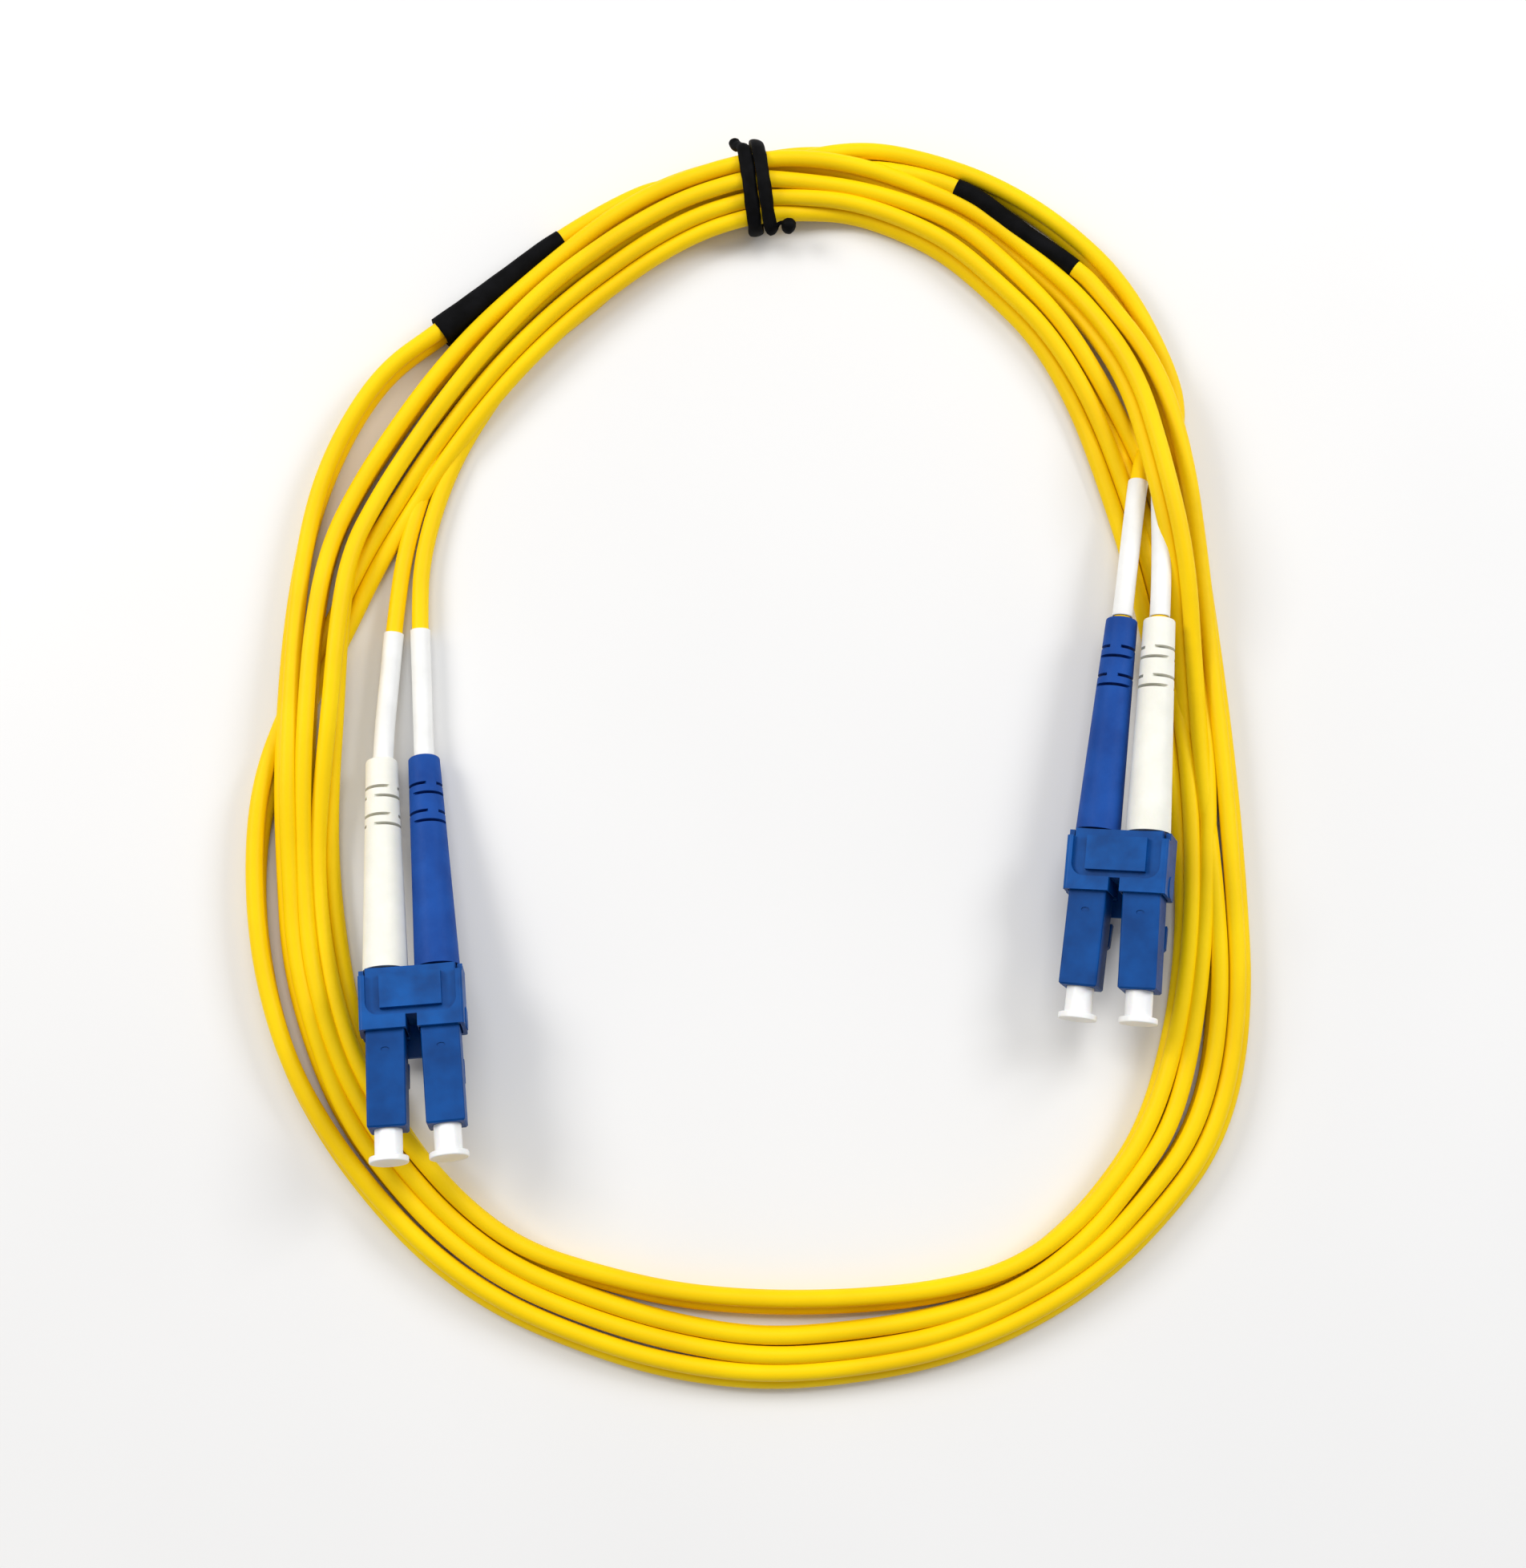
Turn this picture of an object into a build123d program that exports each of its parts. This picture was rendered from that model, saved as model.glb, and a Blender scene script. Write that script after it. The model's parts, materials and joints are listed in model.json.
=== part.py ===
"""Duplex LC to LC fibre patch cord, coiled and held by a twist tie. Millimetres, +Z up.

The cord lies on Z = 0. The origin is on that surface, under the middle of the two connectors.
End A is the connector on the -X side and end B is the one on the +X side.
"""
from build123d import *
from math import cos, radians, sin, tan
import os

os.makedirs("parts", exist_ok=True)

# ---- cord ----
strand_d = 2.1
bend_share = 0.45
sleeve_wall = 0.2
label_length = {"end_a": 16.2, "end_b": 18.0}
label_gap = 0.25
label_clearance = 0.02
tail_overlap = 0.5

# ---- LC plug, measured back from the front face of its housing ----
plug_side = 4.52
fit_gap = 0.03
nose_chamfer = 0.2
plug_pitch = 6.25
housing_length = 14.0
body_corner_r = 0.28
crown_mark = (0.5, 0.28, 0.12)
crown_mark_z = -9.1
recess_d = 3.4
recess_depth = 5.0
shelf_thickness = 0.8
shelf_bore_d = 2.1
cavity_d = 3.3
ferrule_d = 1.25
ferrule_length = 6.5
ferrule_reach = 1.9
ferrule_tip_chamfer = 0.15
flange_nose_d = 1.9
flange_collar_d = 2.9
flange_tail_d = 1.6
flange_nose_z = -3.0
flange_collar_length = 1.4
flange_back_z = -9.5
fibre_d = 0.9
fibre_back_z = -25.9
spring_wire_d = 0.36
spring_mean_d = 2.4
spring_seat_z = -12.5
spring_turns = 6
rear_block_end_z = -18.95
neck_d = 2.6
neck_end_z = -27.4
fibre_bore_d = 1.2
crimp_d = 3.4
crimp_front_z = -20.2
crimp_chamfer = 0.12
boot_front_z = -19.1
boot_length = 26.8
boot_base_d = 5.4
boot_tail_d = 3.86
boot_bore_d = 2.3
boot_socket_d = 3.6
boot_socket_back_z = -27.6
boot_socket_cone = 0.6
boot_shoulder_d = 5.24
boot_shoulder_length = 3.0
boot_rim_r = 0.3
boot_slot_width = 0.38
boot_slot_bridge_width = 1.3
boot_slot_distances = (3.9, 5.15, 7.55, 8.8)
boot_slot_turn = {"end_a_white": -50, "end_a_blue": -25, "end_b_blue": 0, "end_b_white": 20}

# ---- latch, trigger and clip ----
latch_root_z = -1.8
latch_root_r = 0.45
latch_root_gap = 0.05
latch_slope = 10
latch_thickness = 0.8
latch_length = 9.2
latch_width = 2.3
latch_root_width = 3.4
latch_end_r = 0.25
shoulder_width = 4.45
shoulder_front = 4.0
shoulder_ramp = 0.6
shoulder_length = 2.8
clip_length = 7.5
clip_width = 12.2
clip_top = 3.05
clip_bottom = -3.2
clip_channel = (4.9, 4.64)
clip_channel_r = 0.3
clip_channel_overrun = 1.0
clip_corner_r = 0.5
clip_recess = (10.6, 7.3, 0.65)
clip_recess_corner_r = 1.6
clip_recess_back = 1.55
clip_front_z = -11.4
pad_size = (7.2, 4.1, 0.18)
pad_back = 0.75
clip_notch = (1.1, 1.0, 1.5)
clip_notch_at = (5.75, 3.3)
clip_slot = (1.35, 1.7)
lug_spacing = 5.5
lug_thickness = 0.9
lug_r = 0.95
lug_base = (2.2, 1.2)
lug_base_at = (-2.55, -3.7)
side_boss = (2.6, 2.8, 0.15)
side_boss_corner_r = 1.0
side_boss_at = (1.3, -0.6)
pivot_height = -4.0
pivot_back = 6.2
trunnion_r = 0.45
trunnion_clearance = 0.04
trigger_tip_reach = 8.0
trigger_bottom = -5.9
trigger_thickness = 0.9
trigger_width = 4.4
trigger_bar_width = 9.2
trigger_bar_length = 2.6
trigger_hub_r = 0.62
trigger_root_half = 0.6
trigger_bend = (2.6, 0.15)
trigger_bend_inside = (3.2, 0.1)
trigger_tip = (1.0, 0.35)
trunnion_span = 6.4

# ---- dust cap ----
cap_d = 3.24
cap_inside = 2.8
cap_outside = 3.85
cap_flange_d = 4.6
cap_flange_thickness = 0.75
cap_bore_d = 1.4
cap_bore_end = 2.5
cap_bore_cone = 0.3
cap_lead_in = (0.15, 0.3)
cap_rim_r = 0.18

# ---- where the two connectors lie: clip centre, yaw, pitch, roll, splay of each plug ----
end_a = dict(centre=(-42.05, -14.0, 7.7), yaw=5.6, pitch=10.5, roll=-4.0, splay=1.0)
end_b = dict(centre=(42.25, 2.4, 7.1), yaw=-6.7, pitch=2.5, roll=20.0, splay=1.5)

# ---- coil: middle of the bundle and its half width, clockwise from the tie ----
coil_height = 4.3
coil_chamfer = 1.0
coil_gap = 0.06
label_end_gap = 0.1
coil_stations = [
    (-1.5, 90.9, 4.7), (11.9, 92.1, 5.2), (26.4, 87.2, 6.2), (39.2, 73.7, 6.7), (48.1, 52.8, 6.0),
    (53.3, 27.5, 3.6), (54.8, 0.0, 3.6), (52.3, -22.0, 4.4), (45.2, -36.5, 4.7), (30.1, -48.0, 4.8),
    (10.1, -52.5, 5.4), (-11.6, -52.3, 5.6), (-30.6, -46.1, 5.5), (-44.6, -34.5, 5.2), (-54.2, -19.0, 5.2),
    (-58.4, 2.5, 5.2), (-57.4, 22.5, 4.8), (-53.8, 42.3, 6.2), (-47.1, 57.0, 7.4), (-35.9, 71.7, 5.4),
    (-21.0, 83.7, 4.6), (-11.0, 88.8, 4.3),
]

# ---- legs: from the boot tail to where the leg joins the bundle ----
leg_routes = {
    "end_a_white": [(-46.5, 33.9, 1.5), (-45.4, 43.3, 1.15), (-42.6, 53.4, 1.15), (-37.6, 63.4, 1.15)],
    "end_a_blue": [(-43.4, 34.1, 1.5), (-43.2, 42.5, 1.15), (-40.5, 52.7, 1.15), (-35.6, 62.2, 1.15)],
    "end_b_blue": [(46.6, 52.1, 3.4), (46.6, 61.9, 2.0), (43.0, 70.7, 1.4)],
    "end_b_white": [(49.3, 51.5, 3.6), (49.1, 62.1, 2.1), (45.6, 71.9, 1.4)],
}

# ---- heat-shrink sleeves where the twin cord splits, and the twist tie ----
split_width = 2.6
split_height = 4.7
split_wall = 0.25
split_r = 1.25
split_inner_r = 0.9
split_sleeves = {
    "end_a": ((24.3, 90.8), (39.3, 79.7)),
    "end_b": ((-41.7, 71.4), (-26.5, 83.8)),
}
tie_centre = (-1.5, 90.6)
tie_turn = -8.0
tie_wire_width = 1.45
tie_wraps = 2
tie_thickness = 0.5
tie_inside = (10.4, 4.3)
tie_r = 1.6
tie_inner_r = 1.2
tie_end_edge = 5.4
tie_end_section = (1.6, 1.4)
tie_end_r = 0.5
tie_end_runs = ((-1, 0.9, 2.3), (1, -2.4, -4.3))
tie_neck = (0.3, 0.6)


def write(piece, label):
    """Name a finished piece and write it as its own STEP file."""
    piece.part.label = label
    export_step(piece.part, f"parts/{label}.step")


def connector_frame(centre, yaw, pitch, roll, **other):
    """Frame at the clip's middle: x across the pair, y away from the latches, z towards the nose."""
    turn, lift, lean = radians(yaw), radians(pitch), radians(roll)
    nose = Vector(sin(turn) * cos(lift), -cos(turn) * cos(lift), sin(lift))
    level = Vector(cos(turn), sin(turn), 0)
    across = level * cos(lean) + nose.cross(level) * sin(lean)
    return Plane(origin=centre, x_dir=across, z_dir=nose)


def plug_frame(clip, side, splay):
    """Frame at the middle of one plug's front face. side is -1 or +1 across the pair."""
    angle = radians(splay) * side
    nose = clip.z_dir * cos(angle) + clip.x_dir * sin(angle)
    across = clip.x_dir * cos(angle) - clip.z_dir * sin(angle)
    middle = clip.origin + clip.x_dir * (side * plug_pitch / 2)
    return Plane(origin=middle - nose * (clip_front_z - clip_length / 2), x_dir=across, z_dir=nose)


def long_section(frame):
    """Plane that holds the plug's axis: its x is the frame's x and its y runs towards the nose."""
    return Plane(origin=frame.origin, x_dir=frame.x_dir, z_dir=frame.y_dir * -1)


def side_section(frame, offset=0.0):
    """Plane across the plug's width: its x runs towards the nose and its y is the frame's y."""
    return Plane(origin=frame.origin + frame.x_dir * offset, x_dir=frame.z_dir, z_dir=frame.x_dir * -1)


def axis_of(frame):
    return Axis(frame.origin, frame.z_dir)


def make_housing(frame, name):
    """Square plug body with the ferrule recess in front and the spring cavity behind."""
    with BuildPart() as housing:
        with BuildSketch(frame.offset(-housing_length)):
            RectangleRounded(plug_side, plug_side, body_corner_r)
        extrude(amount=housing_length)
        nose = housing.faces().sort_by(axis_of(frame))[-1]
        chamfer(nose.edges(), nose_chamfer)
        with BuildSketch(frame):
            Circle(recess_d / 2)
        extrude(amount=-recess_depth, mode=Mode.SUBTRACT)
        with BuildSketch(frame):
            Circle(shelf_bore_d / 2)
        extrude(amount=-recess_depth - shelf_thickness, mode=Mode.SUBTRACT)
        with BuildSketch(frame.offset(-housing_length)):
            Circle(cavity_d / 2)
        cavity_length = housing_length - recess_depth - shelf_thickness
        extrude(amount=cavity_length, mode=Mode.SUBTRACT)
        crown = Plane(
            origin=frame.origin + frame.y_dir * (plug_side / 2) + frame.z_dir * crown_mark_z,
            x_dir=frame.x_dir,
            z_dir=frame.y_dir,
        )
        with BuildSketch(crown):
            Ellipse(crown_mark[0], crown_mark[1])
        extrude(amount=-crown_mark[2], mode=Mode.SUBTRACT)
    write(housing, f"{name}_plug_housing")


def make_ferrule(frame, name):
    """Ceramic ferrule with its small fibre hole left out and a chamfered tip."""
    with BuildPart() as ferrule:
        with BuildSketch(frame.offset(ferrule_reach - ferrule_length)):
            Circle(ferrule_d / 2)
        extrude(amount=ferrule_length)
        tip = ferrule.faces().sort_by(axis_of(frame))[-1]
        chamfer(tip.edges(), ferrule_tip_chamfer)
    write(ferrule, f"{name}_ferrule")


def make_ferrule_flange(frame, name):
    """Metal holder: a nose that grips the ferrule, a collar that seats, and a tail for the spring."""
    collar_front = -recess_depth - shelf_thickness - fit_gap
    collar_back = collar_front - flange_collar_length
    ferrule_back = ferrule_reach - ferrule_length
    with BuildPart() as flange:
        with BuildSketch(long_section(frame)):
            with BuildLine():
                Polyline(
                    (ferrule_d / 2, flange_nose_z),
                    (flange_nose_d / 2, flange_nose_z),
                    (flange_nose_d / 2, collar_front),
                    (flange_collar_d / 2, collar_front),
                    (flange_collar_d / 2, collar_back),
                    (flange_tail_d / 2, collar_back),
                    (flange_tail_d / 2, flange_back_z),
                    (fibre_d / 2, flange_back_z),
                    (fibre_d / 2, ferrule_back),
                    (ferrule_d / 2, ferrule_back),
                    close=True,
                )
            make_face()
        revolve(axis=axis_of(frame))
    write(flange, f"{name}_ferrule_flange")


def make_fibre(frame, name):
    """Buffered fibre from the back of the ferrule to the end of the crimp neck."""
    ferrule_back = ferrule_reach - ferrule_length
    with BuildPart() as fibre:
        with BuildSketch(frame.offset(fibre_back_z)):
            Circle(fibre_d / 2)
        extrude(amount=ferrule_back - fibre_back_z)
    write(fibre, f"{name}_buffered_fibre")


def make_spring(frame, name):
    """Compression spring between the ferrule collar and the rear body."""
    front = -recess_depth - shelf_thickness - fit_gap - flange_collar_length
    start = spring_seat_z + spring_wire_d / 2 + fit_gap
    rise = front - spring_seat_z - spring_wire_d - 2 * fit_gap
    with BuildPart() as spring:
        with BuildLine():
            coil = Helix(
                pitch=rise / spring_turns,
                height=rise,
                radius=spring_mean_d / 2,
                center=frame.offset(start).origin,
                direction=frame.z_dir,
            )
        with BuildSketch(Plane(origin=coil @ 0, z_dir=coil % 0)):
            Circle(spring_wire_d / 2)
        sweep()
    write(spring, f"{name}_ferrule_spring")


def make_rear_body(frame, name):
    """Spring seat, square block held by the clip, and the crimp neck."""
    with BuildPart() as rear:
        with BuildSketch(frame.offset(rear_block_end_z)):
            RectangleRounded(plug_side, plug_side, body_corner_r)
        extrude(amount=-housing_length - rear_block_end_z)
        with BuildSketch(frame.offset(-housing_length)):
            Circle(cavity_d / 2 - fit_gap)
        extrude(amount=housing_length + spring_seat_z)
        with BuildSketch(frame.offset(neck_end_z)):
            Circle(neck_d / 2)
        extrude(amount=rear_block_end_z - neck_end_z)
        with BuildSketch(frame.offset(neck_end_z)):
            Circle(fibre_bore_d / 2)
        extrude(amount=spring_seat_z - neck_end_z, mode=Mode.SUBTRACT)
    write(rear, f"{name}_rear_body")


def make_crimp_ring(frame, name):
    """Metal ring crimped over the neck."""
    with BuildPart() as ring:
        with BuildSketch(frame.offset(neck_end_z)):
            Circle(crimp_d / 2)
            Circle(neck_d / 2 + fit_gap, mode=Mode.SUBTRACT)
        extrude(amount=crimp_front_z - neck_end_z)
        outer = ring.faces().filter_by(GeomType.CYLINDER).sort_by(SortBy.RADIUS)[-1]
        chamfer(outer.edges().filter_by(GeomType.CIRCLE), crimp_chamfer)
    write(ring, f"{name}_crimp_ring")


def make_boot(frame, name):
    """Tapered strain-relief boot, hollow over the crimp, with staggered flex slots at its tail."""
    tail_z = boot_front_z - boot_length
    with BuildPart() as boot:
        with BuildSketch(long_section(frame)):
            with BuildLine():
                Polyline(
                    (boot_socket_d / 2, boot_front_z),
                    (boot_base_d / 2, boot_front_z),
                    (boot_shoulder_d / 2, boot_front_z - boot_shoulder_length),
                    (boot_tail_d / 2, tail_z),
                    (boot_bore_d / 2, tail_z),
                    (boot_bore_d / 2, boot_socket_back_z - boot_socket_cone),
                    (boot_socket_d / 2, boot_socket_back_z),
                    close=True,
                )
            make_face()
        revolve(axis=axis_of(frame))
        rim = boot.faces().sort_by(axis_of(frame))[0].outer_wire().edges()
        fillet(rim, boot_rim_r)
        for index, distance in enumerate(boot_slot_distances):
            slot_turn = boot_slot_turn[name] + 90 * ((index + 1) % 2)
            slot_plane = frame.offset(tail_z + distance - boot_slot_width / 2)
            with BuildSketch(slot_plane):
                Circle(boot_base_d / 2)
                Rectangle(boot_base_d, boot_slot_bridge_width, rotation=slot_turn, mode=Mode.SUBTRACT)
            extrude(amount=boot_slot_width, mode=Mode.SUBTRACT)
    write(boot, f"{name}_boot")


def make_latch(frame, name):
    """Spring arm along the plug's lower side, with the two shoulders that catch in the adapter."""
    slope = radians(latch_slope)
    root = Vector(0, -plug_side / 2 - latch_root_r - latch_root_gap, latch_root_z)
    root_at = frame.from_local_coords(root)
    arm_dir = frame.z_dir * -cos(slope) - frame.y_dir * sin(slope)
    arm_up = frame.y_dir * cos(slope) - frame.z_dir * sin(slope)
    arm_plane = Plane(origin=root_at, x_dir=frame.x_dir, z_dir=arm_up)
    with BuildPart() as latch:
        with BuildSketch(Plane(origin=root_at - frame.x_dir * (latch_root_width / 2), z_dir=frame.x_dir)):
            Circle(latch_root_r)
        extrude(amount=latch_root_width)
        with BuildSketch(arm_plane.offset(-latch_thickness / 2)):
            with BuildLine():
                half = latch_width / 2
                wide = shoulder_width / 2
                neck = latch_root_width / 2
                ramp = shoulder_front - shoulder_ramp
                back = shoulder_front + shoulder_length
                Polyline(
                    (-neck, 0), (-neck, ramp), (-wide, shoulder_front),
                    (-wide, back), (-half, back), (-half, latch_length),
                    (half, latch_length), (half, back), (wide, back),
                    (wide, shoulder_front), (neck, ramp), (neck, 0),
                    close=True,
                )
            make_face()
        extrude(amount=latch_thickness)
        free_end = latch.faces().sort_by(Axis(root_at, arm_dir))[-1]
        fillet(free_end.edges().filter_by(Axis(root_at, frame.x_dir)), latch_end_r)
    write(latch, f"{name}_latch_arm")


def make_dust_cap(frame, name):
    """White cap: a tube over the ferrule, closed in front, with a thin round flange."""
    with BuildPart() as cap:
        with BuildSketch(long_section(frame)):
            with BuildLine():
                Polyline(
                    (cap_bore_d / 2, -cap_inside),
                    (cap_d / 2 - cap_lead_in[0], -cap_inside),
                    (cap_d / 2, cap_lead_in[1] - cap_inside),
                    (cap_d / 2, cap_outside - cap_flange_thickness),
                    (cap_flange_d / 2, cap_outside - cap_flange_thickness),
                    (cap_flange_d / 2, cap_outside),
                    (0, cap_outside),
                    (0, cap_bore_end),
                    (cap_bore_d / 2, cap_bore_end - cap_bore_cone),
                    close=True,
                )
            make_face()
        revolve(axis=axis_of(frame))
        rims = cap.edges().filter_by(GeomType.CIRCLE).sort_by(SortBy.RADIUS)[-2:]
        fillet(rims, cap_rim_r)
    write(cap, f"{name}_dust_cap")


def leg_points(frame, route):
    """Corners of a leg: the crimp, the boot tail, then the points where it lies."""
    start = frame.from_local_coords(Vector(0, 0, neck_end_z))
    tail = frame.from_local_coords(Vector(0, 0, boot_front_z - boot_length + tail_overlap))
    return [start, tail] + [Vector(*point) for point in route]


def corner_radii(points):
    """The largest arc that each corner's two runs leave room for."""
    radii = []
    for before, corner, after in zip(points, points[1:], points[2:]):
        first, second = corner - before, after - corner
        half_turn = radians(first.get_angle(second)) / 2
        radii.append(bend_share * min(first.length, second.length) / tan(half_turn))
    return radii


def leg_path(frame, route):
    """Middle line of a leg, from the crimp to the bundle."""
    points = leg_points(frame, route)
    radii = corner_radii(points)
    print("bend radii", [round(r, 1) for r in radii])
    with BuildLine() as path:
        FilletPolyline(*points, radius=radii)
    return path.wire()


def make_leg(path, name):
    """One leg of the split cord, as a plain tube."""
    with BuildPart() as leg:
        with BuildSketch(across_path(path, 0)):
            Circle(strand_d / 2)
        sweep(path=path)
    write(leg, f"{name}_leg")
    ratio = leg.part.volume / (Circle(strand_d / 2, mode=Mode.PRIVATE).area * path.length)
    print(name, "length", round(path.length, 1), "volume ratio", round(ratio, 4))
    return leg.part


def across_path(path, distance):
    """Plane across a path at a distance along it."""
    middle = path.position_at(distance, position_mode=PositionMode.LENGTH)
    return Plane(origin=middle, z_dir=path.tangent_at(distance, position_mode=PositionMode.LENGTH))


def label_ends(path, name):
    """Planes across a leg where its label sleeve starts and ends."""
    start = neck_end_z - boot_front_z + boot_length + label_gap
    return across_path(path, start), across_path(path, start + label_length[name[:5]])


def make_label_sleeve(path, name):
    """Shrunk white sleeve that follows the leg behind the boot."""
    start, end = label_ends(path, name)
    with BuildPart() as sleeve:
        with BuildSketch(across_path(path, 0)):
            Circle(strand_d / 2 + sleeve_wall)
            Circle(strand_d / 2 + label_clearance, mode=Mode.SUBTRACT)
        sweep(path=path)
        split(bisect_by=start, keep=Keep.TOP)
        split(bisect_by=end, keep=Keep.BOTTOM)
    write(sleeve, f"{name}_label_sleeve")


def label_room(path, name):
    """The space a label sleeve needs inside the bundle."""
    start, end = label_ends(path, name)
    with BuildPart() as room:
        with BuildSketch(across_path(path, 0)):
            Circle(strand_d / 2 + sleeve_wall + coil_gap)
        sweep(path=path)
        split(bisect_by=start.offset(-label_end_gap), keep=Keep.TOP)
        split(bisect_by=end.offset(label_end_gap), keep=Keep.BOTTOM)
    return room.part


def make_clip(clip, plugs, name):
    """Duplex clip: a block with two channels, a raised pad in a recess, and the trigger's lugs."""
    back = clip.offset(-clip_length / 2)
    with BuildPart() as body:
        middle_y = (clip_top + clip_bottom) / 2
        with BuildSketch(back):
            with Locations((0, middle_y)):
                RectangleRounded(clip_width, clip_top - clip_bottom, clip_corner_r)
        extrude(amount=clip_length)
        for frame in plugs:
            with BuildSketch(frame.offset(clip_front_z - clip_length - clip_channel_overrun)):
                RectangleRounded(clip_channel[0], clip_channel[1], clip_channel_r)
            extrude(amount=clip_length + 2 * clip_channel_overrun, mode=Mode.SUBTRACT)
        crown = Plane(origin=clip.origin + clip.y_dir * clip_top, x_dir=clip.x_dir, z_dir=clip.y_dir)
        with BuildSketch(crown):
            with Locations((0, clip_recess_back)):
                RectangleRounded(clip_recess[0], clip_recess[1], clip_recess_corner_r)
            with Locations((0, pad_back)):
                Rectangle(pad_size[0], pad_size[1], mode=Mode.SUBTRACT)
        extrude(amount=-clip_recess[2], mode=Mode.SUBTRACT)
        with BuildSketch(crown):
            with Locations((0, pad_back)):
                Rectangle(pad_size[0], pad_size[1])
        extrude(amount=pad_size[2])
        with BuildSketch(crown):
            with Locations((-clip_notch_at[0], clip_notch_at[1]), clip_notch_at):
                Rectangle(clip_notch[0], clip_notch[1])
        extrude(amount=-clip_notch[2], mode=Mode.SUBTRACT)
        for side in (-1, 1):
            with BuildSketch(side_section(clip, side * lug_spacing / 2)):
                with Locations((lug_base_at[0], lug_base_at[1])):
                    Rectangle(lug_base[0], lug_base[1])
                with Locations((clip_length / 2 - pivot_back, pivot_height)):
                    Circle(lug_r)
                    Circle(trunnion_r + trunnion_clearance, mode=Mode.SUBTRACT)
            extrude(amount=lug_thickness / 2, both=True)
            with BuildSketch(side_section(clip, side * clip_width / 2)):
                with Locations((clip_length / 2 - side_boss_at[0], side_boss_at[1])):
                    RectangleRounded(side_boss[0], side_boss[1], side_boss_corner_r)
            extrude(amount=side_boss[2], both=True)
        with BuildSketch(clip.offset(clip_length / 2 - clip_slot[1])):
            with Locations((0, middle_y)):
                Rectangle(clip_slot[0], 2 * (clip_top - clip_bottom))
        extrude(amount=2 * clip_slot[1], mode=Mode.SUBTRACT)
    write(body, f"{name}_duplex_clip")


def make_trigger(clip, name):
    """Lever hinged under the clip: its tip bar presses both latch arms together."""
    pivot = Vector(0, pivot_height, clip_length / 2 - pivot_back)
    tip_z = pivot.Z + trigger_tip_reach
    trigger_top = trigger_bottom + trigger_thickness
    plate = side_section(clip)
    with BuildPart() as trigger:
        with BuildSketch(plate):
            with BuildLine():
                Polyline(
                    (pivot.Z, pivot.Y + trigger_root_half),
                    (pivot.Z, pivot.Y - trigger_root_half),
                    (pivot.Z + trigger_bend[0], trigger_bottom + trigger_bend[1]),
                    (tip_z - trigger_tip[0], trigger_bottom),
                    (tip_z, trigger_bottom + trigger_tip[1]),
                    (tip_z, trigger_top),
                    (pivot.Z + trigger_bend_inside[0], trigger_top + trigger_bend_inside[1]),
                    close=True,
                )
            make_face()
            with Locations((pivot.Z, pivot.Y)):
                Circle(trigger_hub_r)
        extrude(amount=trigger_width / 2, both=True)
        with BuildSketch(plate):
            with Locations((pivot.Z, pivot.Y)):
                Circle(trunnion_r)
        extrude(amount=trunnion_span / 2, both=True)
        with BuildSketch(plate):
            with BuildLine():
                Polyline(
                    (tip_z - trigger_bar_length, trigger_bottom),
                    (tip_z - trigger_tip[0], trigger_bottom),
                    (tip_z, trigger_bottom + trigger_tip[1]),
                    (tip_z, trigger_top),
                    (tip_z - trigger_bar_length, trigger_top),
                    close=True,
                )
            make_face()
        extrude(amount=trigger_bar_width / 2, both=True)
    write(trigger, f"{name}_trigger")


def outward(index):
    """Unit vector across the bundle, away from the middle of the coil."""
    before = coil_stations[index - 1]
    after = coil_stations[(index + 1) % len(coil_stations)]
    along = Vector(after[0] - before[0], after[1] - before[1], 0).normalized()
    return Vector(-along.Y, along.X, 0)


def coil_edge(side):
    """Points along the outer (+1) or inner (-1) edge of the bundle."""
    points = []
    for index, (x, y, half_width) in enumerate(coil_stations):
        points.append(Vector(x, y, 0) + outward(index) * (side * half_width))
    return points


def split_plane(name):
    start, end = (Vector(x, y, split_height / 2) for x, y in split_sleeves[name])
    return Plane(origin=start, x_dir=(end - start).cross(Vector(0, 0, 1)), z_dir=end - start)


def split_length(name):
    start, end = (Vector(x, y) for x, y in split_sleeves[name])
    return (end - start).length


def make_split_sleeve(name):
    """Black heat-shrink sleeve over the place where the twin cord splits into two legs."""
    with BuildPart() as sleeve:
        with BuildSketch(split_plane(name)):
            RectangleRounded(split_width, split_height, split_r)
            RectangleRounded(
                split_width - 2 * split_wall,
                split_height - 2 * split_wall,
                split_inner_r,
                mode=Mode.SUBTRACT,
            )
        extrude(amount=split_length(name))
    write(sleeve, f"{name}_split_sleeve")


def tie_plane():
    """Across the bundle at the tie: x runs over the bundle and y is up."""
    across = Vector(sin(radians(tie_turn)), cos(radians(tie_turn)), 0) * -1
    middle = Vector(tie_centre[0], tie_centre[1], tie_thickness + tie_inside[1] / 2)
    return Plane(origin=middle, x_dir=across, z_dir=across.cross(Vector(0, 0, 1)))


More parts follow.
